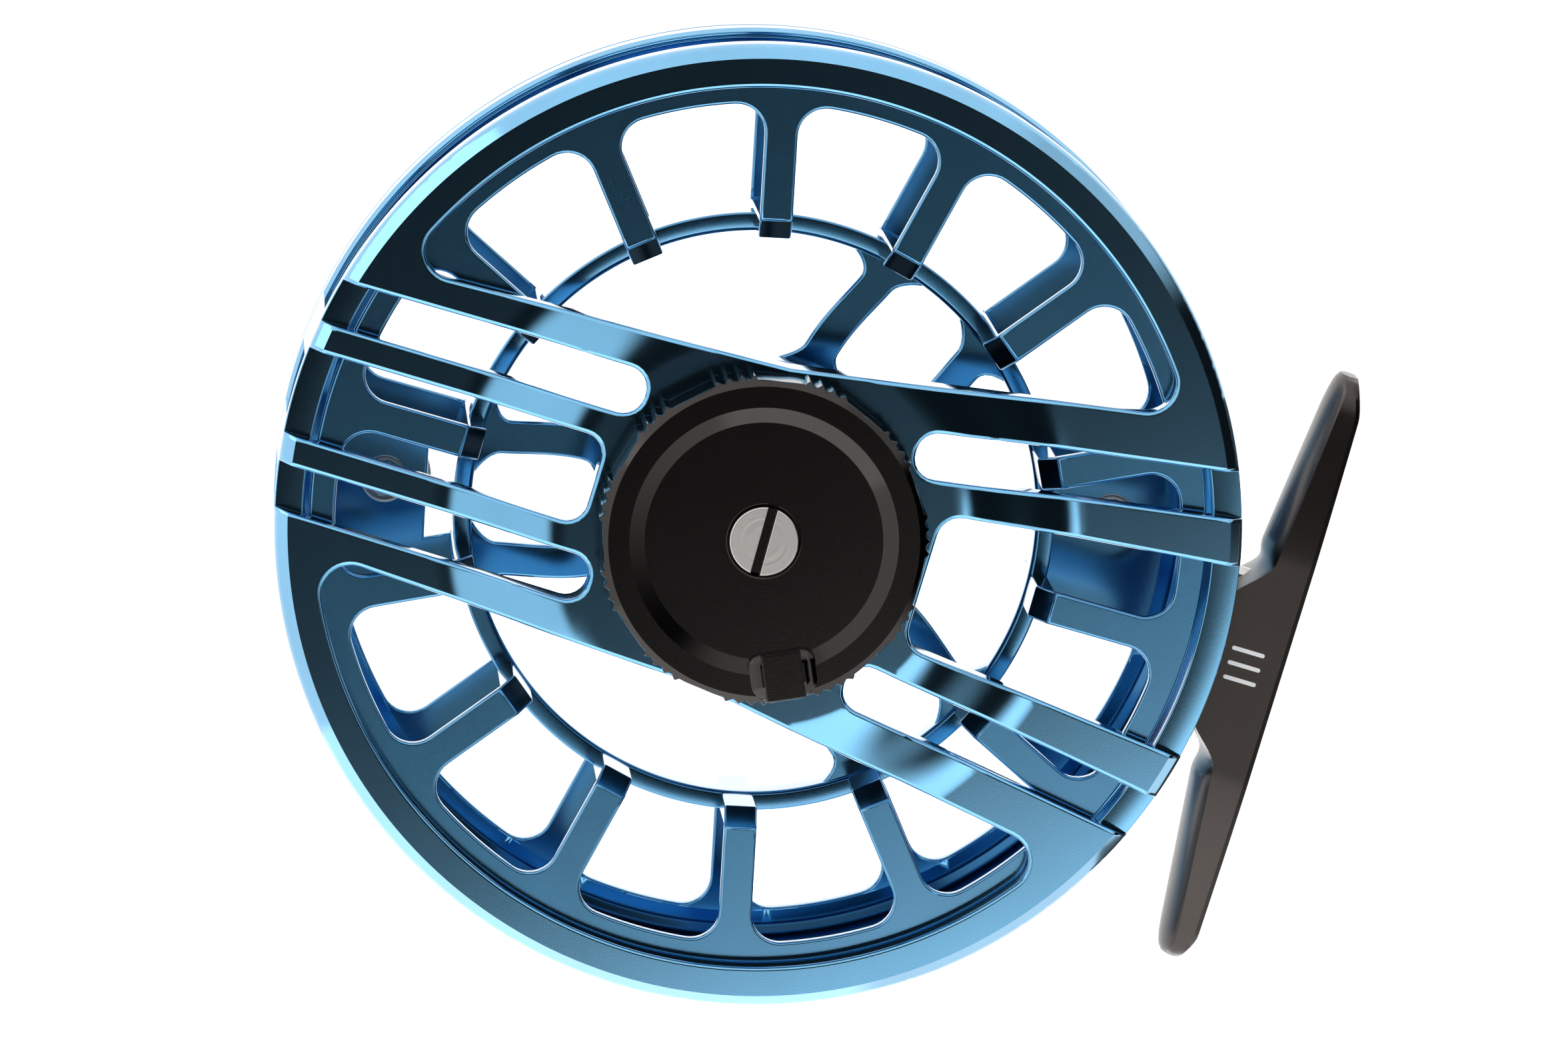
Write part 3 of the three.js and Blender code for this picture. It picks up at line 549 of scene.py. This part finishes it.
def arc_opening(low, high, inner_points, big_r, r):
    """Opening between two straight edges, closed by the arc of radius big_r with a fillet r at each end."""
    c0, edge0, a0 = fillet_to_arc(*low, big_r, r)
    c1, edge1, a1 = fillet_to_arc(*high, big_r, r)
    turn0 = (a0 - edge0) % 360
    turn1 = (edge1 - a1) % 360
    sweep = (a1 - a0) % 360
    low_fillet = arc(c0, r, edge0, edge0 + turn0, 11)
    outer_arc = arc((0, 0), big_r, a0, a0 + sweep)[1:-1]
    high_fillet = arc(c1, r, a1, a1 + turn1, 11)
    return list(inner_points) + low_fillet + outer_arc + high_fillet


KNEE = (17.33, 2.0)
up = (math.sin(rad(2.4)), math.cos(rad(2.4)))
down = (math.sin(rad(9.3)), math.cos(rad(9.3)))
lower_edge = (KNEE, (down[0], -down[1]), (down[1], down[0]))
upper_edge = (KNEE, (-up[0], up[1]), (up[1], up[0]))
d_window = arc_opening(lower_edge, upper_edge, [KNEE], SEGMENT_INNER_R, 3.0)
d_window_left = [(-x, z) for x, z in reversed(d_window)]

plate_loops = [dense(outline, 1.0), dense(d_window, 1.2), dense(d_window_left, 1.2),
               arc((0, 0), 12.9, 0, 355, 5)]
hub_points = [19.5 + 0.75 * i for i in range(21)]
rear_plate = plate(plate_loops, plate_face, PLATE_BACK_Y, bevel=0.42, far_bevel=0.3, steps=2,
                   creases=(CHAMFER_TOP_R,), points_at=hub_points)
hub_floor = lathe([(2.8, -16.25), (13.0, -16.25), (13.0, PLATE_BACK_Y), (2.8, PLATE_BACK_Y)], 96)
rear_ring = lathe(rounded([(RING_INNER_R, -12.2, 0.15), (RIM_R, -12.2, 0.12), (RIM_R, REAR_RING_BACK_Y, 0.2),
                           (RING_INNER_R, REAR_RING_BACK_Y, 0.2)], 2))
y0, y1 = FRONT_RING_Y
front_ring = lathe(rounded([
    (RING_INNER_R, y0, 0.2), (49.85, y0, 0.06), (49.9, y0 + 0.5, 0.05), (50.25, y0 + 0.5, 0.05),
    (50.3, y0, 0.06), (50.45, y0, 0.1), (RIM_R, y0 + 0.75, 0.15), (RIM_R, y1, 0.2),
    (RING_INNER_R, y1, 0.2)], 2))
posts = []
for low, high in ((80.25, 86.25), (93.75, 99.75), (-105, -75)):
    sector = arc((0, 0), RIM_R - 0.02, low, high) + arc((0, 0), RING_INNER_R + 0.4, high, low)
    posts.append(plate([sector], REAR_RING_BACK_Y - 0.3, y0 + 0.3, bevel=0.25))
frame_parts = [rear_plate, hub_floor, rear_ring, front_ring] + posts
piece("reel_frame", frame_parts, blue, "reel_body", ["frame"], face_level=plate_face)


# ---- spool ----
def spoke_edge(angle, sign):
    """One side of a spoke: a point abreast of the spindle axis, the way outwards, and the side's normal."""
    side = polar(1, angle + 90 * sign)
    return (side[0] * SPOKE_WIDTH / 2, side[1] * SPOKE_WIDTH / 2), polar(1, angle), side


def edge_point(edge, r):
    """Where a spoke's side crosses the circle of radius r."""
    start, along, _ = edge
    reach = math.sqrt(r ** 2 - (SPOKE_WIDTH / 2) ** 2)
    return (start[0] + along[0] * reach, start[1] + along[1] * reach)


def window_path(centre, inner_r):
    """One spoke window: up the low spoke, anticlockwise along the arc, and down the high spoke."""
    low, high = spoke_edge(centre - PITCH / 2, 1), spoke_edge(centre + PITCH / 2, -1)
    opening = arc_opening(low, high, [edge_point(low, inner_r)], WINDOW_R, 3.0)
    return opening + [edge_point(high, inner_r)]


def spoked_hole(skip=()):
    """The opening inside a flange: every window, and the feet of the spokes between them. A skipped window
    is closed down to the radius given."""
    path = []
    for i in range(SPOKES):
        centre = COUNTERWEIGHT_ANGLE + PITCH * i
        if i not in skip:
            path += window_path(centre, ARBOR_R)
            continue
        low, high = spoke_edge(centre - PITCH / 2, 1), spoke_edge(centre + PITCH / 2, -1)
        path += [edge_point(low, ARBOR_R), edge_point(low, skip[i])]
        path += [edge_point(high, skip[i]), edge_point(high, ARBOR_R)]
    return path


def far_flange_face(r):
    return 12.8 if r <= WINDOW_R + 0.3 else 12.8 + 0.7 * min(1, (r - WINDOW_R - 0.3) / 1.9)


full_turn = 360 - 1.25
outer_circle = arc((0, 0), FLANGE_R, 0, full_turn)
rear_flange = plate([outer_circle, dense(spoked_hole(), 1.5)], SPOOL_REAR_Y, SPOOL_REAR_Y + 1.5, bevel=0.3)
rim_join_r = 46.6
front_outer = arc((0, 0), rim_join_r, 0, full_turn)
pad_inner_radii = {0: 35.0, 7: 32.6}
front_hole = dense(spoked_hole(pad_inner_radii), 1.5)
front_flange = plate([front_outer, front_hole], far_flange_face, SPOOL_FRONT_Y, bevel=0.3,
                     creases=(WINDOW_R + 0.3,))
palm_rim = lathe(rounded([
    (46.0, 13.4, 0), (46.6, 13.5, 0), (49.2, 13.7, 0.3), (49.6, 12.05, 0.15), (50.4, 12.05, 0.3),
    (RIM_R, 12.6, 0.3), (RIM_R, 14.7, 0.4), (50.2, SPOOL_FRONT_Y, 0.3), (46.0, SPOOL_FRONT_Y, 0)], 3))
bar_profile = rounded([
    (ARBOR_R + 0.05, SPOOL_FRONT_Y, 0.05), (ARBOR_INNER_R, SPOOL_FRONT_Y - 2.2, 0.3),
    (ARBOR_INNER_R, SPOOL_REAR_Y + 2.2, 0.3), (ARBOR_R + 0.05, SPOOL_REAR_Y, 0.05)], 3)
bar_part = plate([bar_profile], -SPOKE_WIDTH / 2, SPOKE_WIDTH / 2, bevel=0.25)
arbor_bars = [standing(bar_part, COUNTERWEIGHT_ANGLE + PITCH * (i + 0.5)) for i in range(SPOKES)]
waist_r = ARBOR_R - 0.2
waist_ring = lathe(rounded([(29.9, 0, 0.5), (waist_r, 0, 0.25), (waist_r, 5, 0.25), (29.9, 5, 0.5)], 3))

ARM_SPREAD = 128.57
ARM_PAIRS = (COUNTERWEIGHT_ANGLE, COUNTERWEIGHT_ANGLE + ARM_SPREAD, COUNTERWEIGHT_ANGLE - ARM_SPREAD)


def arm_outline(centre, side):
    """One curved arm from hub to arbor, wider at both ends. side is -1 or 1 within its pair."""
    start_r, end_r = 15.9, 30.6
    left, right = [], []
    for k in range(41):
        t = k / 40
        r = start_r + (end_r - start_r) * t
        lean = 20 + (PITCH / 2 - 20) * smooth_step(t)
        half = 1.85 + 3.0 * max(0, 1 - (r - 16.2) / 2.6) ** 2 + 3.0 * max(0, 1 - (30.2 - r) / 2.8) ** 2
        spread = math.degrees(half / r)
        angle = centre + side * lean
        left.append(polar(r, angle + spread))
        right.append(polar(r, angle - spread))
    return right + list(reversed(left))


arms = []
for pair_angle in ARM_PAIRS:
    for side in (-1, 1):
        arms.append(plate([arm_outline(pair_angle, side)], 0.5, 4.5, bevel=0.35))
hub = lathe(rounded([
    (14.9, -3.5, 0.2), (16.7, -3.5, 0.3), (16.7, 7.8, 0.5), (13, 9.5, 0.6), (12, 12.6, 0.4),
    (9.1, 12.6, 0.15), (9.1, 9.5, 0), (7.9, 9.5, 0), (7.9, 6, 0), (14.9, 6, 0)], 3), 144)
spool_parts = [rear_flange, front_flange, palm_rim, waist_ring, hub] + arbor_bars + arms
piece("spool_body", spool_parts, blue_soft, "spool", ["spool"], face_level=far_flange_face)


# ---- drag knob ----
KNOB_CLUSTERS = 11
CLUSTER_TURN = -71.5  # degrees
CLUSTER_HALF = 7.6  # degrees
BUMP_DEPTH = 0.42
RAISED_RING = (12.4, 14.0, 16.2)
POINTER_ANGLE = 205  # degrees
SCREW_TURN = 1.5  # degrees


def knob_radius(degrees):
    """Edge of the knob: clusters of four small bumps, with a shallow smooth flat between them."""
    pitch = 360 / KNOB_CLUSTERS
    off = (degrees - CLUSTER_TURN + pitch / 2) % pitch - pitch / 2
    if abs(off) <= CLUSTER_HALF:
        wave = abs(math.sin(math.pi * (off + 6.6) / 4.4))
        return KNOB_R - BUMP_DEPTH + BUMP_DEPTH * (1 - wave ** 1.3)
    t = (abs(off) - CLUSTER_HALF) / (pitch / 2 - CLUSTER_HALF)
    return KNOB_R - BUMP_DEPTH - 0.12 * smooth_step(t)


def knob_face(r):
    """Level of the knob's face: a sunk middle, a ramp, the raised ring and its sloping edge."""
    ramp_start, ring_start, ring_end = RAISED_RING
    if r < ramp_start:
        return KNOB_FACE_Y + 0.5
    if r < ring_start:
        return KNOB_FACE_Y + 0.5 - 0.5 * (r - ramp_start) / 1.6
    if r < ring_end:
        return KNOB_FACE_Y
    return KNOB_FACE_Y + 0.8 * ((r - ring_end) / 0.9)


knob_outline = [polar(knob_radius(a / 2), a / 2) for a in range(720)]
recess = arc((0, 0), 3.85, 0, 355, 5)
knob_body = plate([knob_outline, recess], knob_face, -17.9, bevel=0.12, far_bevel=0.4, steps=1,
                  creases=RAISED_RING)
screw_well = lathe([(0.0, -23.3), (3.9, -23.3), (3.9, -22.6), (0.0, -22.6)], 72)
pointer_shape = [(11.7, -2.1, 0.15), (16.75, -2.1, 0.3), (16.75, 2.1, 0.3), (11.7, 2.1, 0.15)]
pointer_plate = plate([rounded(pointer_shape, 3)], KNOB_FACE_Y - 0.55, KNOB_FACE_Y + 2, bevel=0.2)
pointer = turned(pointer_plate, POINTER_ANGLE)
flank_shape = [(11.4, -3.9, 1.8), (16.7, -3.9, 1.8), (16.7, 3.9, 1.8), (11.4, 3.9, 1.8)]
flank_plate = plate([rounded(flank_shape, 6)], KNOB_FACE_Y - 0.5, KNOB_FACE_Y + 2, bevel=1.6,
                    far_bevel=0.1, steps=4)
flanks = turned(flank_plate, POINTER_ANGLE)
knob_parts = [knob_body, screw_well, pointer, flanks]
piece("knob_body", knob_parts, black, "knob", ["drag_knob"], sharp=35,
      face_level=knob_face)

half_slot = 0.465
screw_head_r = 3.6
slot_half_angle = math.degrees(math.asin(half_slot / screw_head_r))
half_disc = arc((0, 0), screw_head_r, slot_half_angle, 180 - slot_half_angle, 4)
screw_halves = [plate([half_disc], -25.45, -23.4, bevel=0.12, steps=1)]
screw_halves.append(turned(screw_halves[0], 180))
# painted shade: a black disc part way down the steel screw's slot, so that the slot reads as a dark line
slot_shade_floor = lathe([(0, -24.45), (3.45, -24.45), (3.45, -23.4), (0, -23.4)], 72)
screw_shank = lathe([(0, -23.5), (1.2, -23.5), (1.2, -19.8), (0, -19.8)], 24)
screw_parts = [turned(part, SCREW_TURN) for part in screw_halves + [screw_shank]]
piece("knob_screw_head", screw_parts, steel, "knob", ["knob_screw"])
# the slot's floor in black anodised finish is painted shade, not a black part of the screw
piece("knob_screw_slot_shade", [turned(slot_shade_floor, SCREW_TURN)], black, "knob")

# ---- foot ----
FOOT_HALF = 32.25
FOOT_STATIONS = 120
FOOT_ACROSS = 28


def foot_top(x):
    """Height of the foot's near shoulder above the seat, along its length."""
    a = abs(x)
    if a < 6.2:
        return 7.9
    if a < 11.5:
        return 7.9 - 3.8 * smooth_step((a - 6.2) / 5.3)
    return 4.1 - 2.1 * (a - 11.5) / (FOOT_HALF - 11.5)


def foot_half_width(x):
    """Half of the foot's width: full over the middle, narrowing towards each toe."""
    a = abs(x)
    return 7.0 if a < 12 else 7.0 - 2.4 * ((a - 12) / (FOOT_HALF - 12)) ** 1.4


def foot_crown(x):
    """How far the crowned top rises above the shoulder."""
    a = abs(x)
    if a < 9:
        return 0.35
    return 0.35 + 1.15 * smooth_step((a - 9) / 4)


def foot_mesh():
    """The foot as cross sections along X. Its toes taper, and their undersides lift over the last few mm."""
    verts, faces = [], []
    for i in range(FOOT_STATIONS + 1):
        x = -FOOT_HALF + 2 * FOOT_HALF * i / FOOT_STATIONS
        end = min(1.0, (FOOT_HALF - abs(x)) / (4.2 if x > 0 else 3.0))
        shrink = math.sqrt(max(0.0, 1 - (1 - end) ** 2))
        w = foot_half_width(x) * (0.6 + 0.4 * shrink)
        top = foot_top(x)
        crown = foot_crown(x) * (0.6 + 0.4 * shrink)
        lift = (top - 0.9) * (1 - end) ** 1.5
        section = []
        for k in range(FOOT_ACROSS + 1):
            u = -1 + 2 * k / FOOT_ACROSS
            section.append((w * u, top + crown * (1 - u * u) ** 0.8))
        low = 0.5
        section += [(w, low + lift), (w - 0.5, lift), (-w + 0.5, lift), (-w, low + lift)]
        verts += [(x, FOOT_Y + dy, SEAT_Z + dz) for dy, dz in section]
    n = FOOT_ACROSS + 5
    for i in range(FOOT_STATIONS):
        for k in range(n):
            a, b = i * n + k, i * n + (k + 1) % n
            faces.append((a, a + n, b + n, b))
    faces.append(tuple(range(n)))
    last = FOOT_STATIONS * n
    faces.append(tuple(reversed(range(last, last + n))))
    return verts, faces


piece("foot_body", [foot_mesh()], black_foot, "reel_body", ["reel_foot"], sharp=40)
ticks = []
for x in (-1.6, 0, 1.6):
    low, high = SEAT_Z + 2.4, SEAT_Z + 6.0
    left, right = x - 0.22, x + 0.22
    mark = rounded([(left, low, 0.2), (right, low, 0.2), (right, high, 0.2), (left, high, 0.2)], 4)
    ticks.append(plate([mark], FOOT_Y - 7.03, FOOT_Y - 6.8, bevel=0.02, steps=1))
piece("foot_marks", ticks, etched, "reel_body")

# ---- housing, cap, handle and counterweight ----
housing = lathe(rounded([(4.6, -11.7, 0), (14.5, -11.7, 0.2), (14.5, 4, 0.4), (13, 4, 0.1), (13, -10, 0),
                         (4.6, -10, 0)], 3), 144)
piece("housing_body", [housing], black, "reel_body", ["drag_housing"])

cap_outline = []
for a in range(360):
    cap_outline.append(polar(8.15 + 0.25 * math.cos(rad(a * 16)), a))
cap_grip = plate([cap_outline], 12.9, 16.2, bevel=0.4, steps=3)
cap_stem = lathe([(0, 9.8), (8.8, 9.8), (8.8, 11.35), (6.8, 11.35), (6.8, 13.2), (0, 13.2)], 72)
cap_dish = lathe(rounded([(3.2, 16.0, 0), (6.2, 16.0, 0), (6.2, 16.35, 0.15), (3.2, 16.35, 0.15)], 3), 72)
piece("cap_body", [cap_grip, cap_stem, cap_dish], black, "cap", ["release_cap"])

handle_x, handle_z = polar(PAD_R, HANDLE_ANGLE)
weight_x, weight_z = polar(PAD_R, COUNTERWEIGHT_ANGLE)


def moved(part, x, z):
    """A part shifted in the plane across the spindle axis."""
    return [(vx + x, vy, vz + z) for vx, vy, vz in part[0]], part[1]


GRIP_LOW_Y = 17.3
GRIP_HIGH_Y = 40.4
grip_profile = [(3.0, 16.9), (5.0, 16.9)]
for k in range(33):
    t = k / 32
    y = GRIP_LOW_Y + (GRIP_HIGH_Y - GRIP_LOW_Y) * t
    r = 5.75 - 0.75 * math.sin(math.pi * min(1, t * 1.25)) ** 2 + 0.5 * t
    grip_profile.append((r, y))
grip_profile += [(5.6, 41.0), (3.6, 41.0), (3.5, 38.6), (3.0, 38.6)]
piece("grip_body", [moved(lathe(grip_profile, 96), handle_x, handle_z)], black, "handle",
      ["handle_grip"])
weight = lathe(rounded([(0, 15.2, 0), (5, 15.2, 0.1), (5, 18.2, 0.2), (4.2, 19, 0.3), (0, 19, 0)], 3), 96)
piece("counterweight_body", [moved(weight, weight_x, weight_z)], steel, "spool",
      ["counterweight"])

# screw seats seen from inside the front flange
seats = []
for x, z in ((handle_x, handle_z), (weight_x, weight_z)):
    seat = lathe(rounded([(1.9, 12.62, 0.1), (2.55, 12.62, 0.15), (2.55, 13.2, 0), (1.9, 13.2, 0)], 3), 60)
    seats.append(moved(seat, x, z))
piece("pad_seats", seats, dark_steel, "spool")

# ---- floor, light and camera ----
floor_mesh = bpy.data.meshes.new("floor")
floor_mesh.from_pydata([(-6, -6, 0), (6, -6, 0), (6, 6, 0), (-6, 6, 0)], [], [(0, 1, 2, 3)])
floor = bpy.data.objects.new("floor", floor_mesh)
bpy.context.scene.collection.objects.link(floor)
pale = bpy.data.materials.new("pale_floor")
pale.use_nodes = True
pale_shader = pale.node_tree.nodes["Principled BSDF"]
pale_shader.inputs["Base Color"].default_value = (0.8, 0.8, 0.8, 1)
pale_shader.inputs["Roughness"].default_value = 0.9
pale_shader.inputs["Emission Color"].default_value = (1, 1, 1, 1)
pale_shader.inputs["Emission Strength"].default_value = 0.9
floor_mesh.materials.append(pale)
floor.visible_glossy = False

world = bpy.data.worlds.new("studio")
bpy.context.scene.world = world
world.use_nodes = True
world_nodes, world_links = world.node_tree.nodes, world.node_tree.links
background = world_nodes["Background"]
direction = world_nodes.new("ShaderNodeTexCoord")
IMAGE_UP = Vector((0.956, 0, 0.292))
IMAGE_RIGHT = Vector((0.292, 0, -0.956))


def glow(towards, dark_at, bright_at):
    """0 to 1 as the direction leans further towards a given one."""
    lean = world_nodes.new("ShaderNodeVectorMath")
    lean.operation = "DOT_PRODUCT"
    lean.inputs[1].default_value = towards
    world_links.new(direction.outputs["Generated"], lean.inputs[0])
    ease = world_nodes.new("ShaderNodeMapRange")
    ease.interpolation_type = "SMOOTHSTEP"
    ease.inputs["From Min"].default_value = dark_at
    ease.inputs["From Max"].default_value = bright_at
    world_links.new(lean.outputs["Value"], ease.inputs["Value"])
    return ease.outputs["Result"]


def combined(operation, a, b):
    """Output of one math node. a and b are numbers or other nodes' outputs."""
    node = world_nodes.new("ShaderNodeMath")
    node.operation = operation
    for socket, value in zip(node.inputs, (a, b)):
        if isinstance(value, (int, float)):
            socket.default_value = value
        else:
            world_links.new(value, socket)
    return node.outputs["Value"]


def lit_zone(a, b):
    return combined("MULTIPLY", a, b)


low_edge = glow(IMAGE_RIGHT * 0.4 - IMAGE_UP, 0.167, 0.188)
below = lit_zone(low_edge, glow(-IMAGE_RIGHT, -0.30, -0.17))
left = lit_zone(glow(-IMAGE_RIGHT, 0.13, 0.24), 0.85)
above = lit_zone(glow(IMAGE_UP, 0.30, 0.45), 0.7)
off_axis = glow(Vector((0, 1, 0)), -0.84, -0.72)
around = lit_zone(off_axis, glow(-IMAGE_RIGHT - IMAGE_UP * 0.15, -0.88, -0.66))
bright = combined("MAXIMUM", lit_zone(below, 1.45), combined("MAXIMUM", above, left))
bright = combined("MAXIMUM", bright, around)
studio = combined("MULTIPLY_ADD", bright, 1.25)
studio.node.inputs[2].default_value = 0.012
rays = world_nodes.new("ShaderNodeLightPath")
seen = world_nodes.new("ShaderNodeMath")
seen.operation = "MAXIMUM"
world_links.new(studio, seen.inputs[0])
world_links.new(rays.outputs["Is Camera Ray"], seen.inputs[1])
world_links.new(seen.outputs["Value"], background.inputs["Strength"])
background.inputs["Color"].default_value = (1, 1, 1, 1)


def softbox(name, place, target, width, height, power):
    """A rectangular area light turned towards a target."""
    light = bpy.data.lights.new(name, "AREA")
    light.shape = "RECTANGLE"
    light.size = width
    light.size_y = height
    light.energy = power
    obj = bpy.data.objects.new(name, light)
    bpy.context.scene.collection.objects.link(obj)
    obj.location = place
    obj.rotation_euler = (Vector(target) - Vector(place)).to_track_quat("-Z", "Y").to_euler()


centre = Vector((0, 0, 0.058))
softbox("top_box", (0.5, 0.2, 1.4), centre, 1.0, 1.0, 3)

NEAR_RING_Y = -13.15
DISTANCE = 1218.0
CAMERA_SLOPE_X = 0.105
CAMERA_SLOPE_Z = 0.0765
camera_data = bpy.data.cameras.new("camera")
camera_data.lens = 269.1
camera_data.sensor_width = 36
camera_data.clip_start = 0.01
camera = bpy.data.objects.new("camera", camera_data)
bpy.context.scene.collection.objects.link(camera)
bpy.context.scene.camera = camera
from_axis = Vector((CAMERA_SLOPE_X * DISTANCE, NEAR_RING_Y - DISTANCE, CAMERA_SLOPE_Z * DISTANCE))
place = (AXIS + from_axis) / 1000
target = (AXIS + Vector((1.23, NEAR_RING_Y, -2.35))) / 1000
forward = (target - place).normalized()
right = forward.cross(IMAGE_UP).normalized()
true_up = right.cross(forward)
rotation = Matrix((right, true_up, -forward)).transposed()
camera.matrix_world = Matrix.Translation(place) @ rotation.to_4x4()
bpy.context.scene.view_settings.view_transform = "Standard"
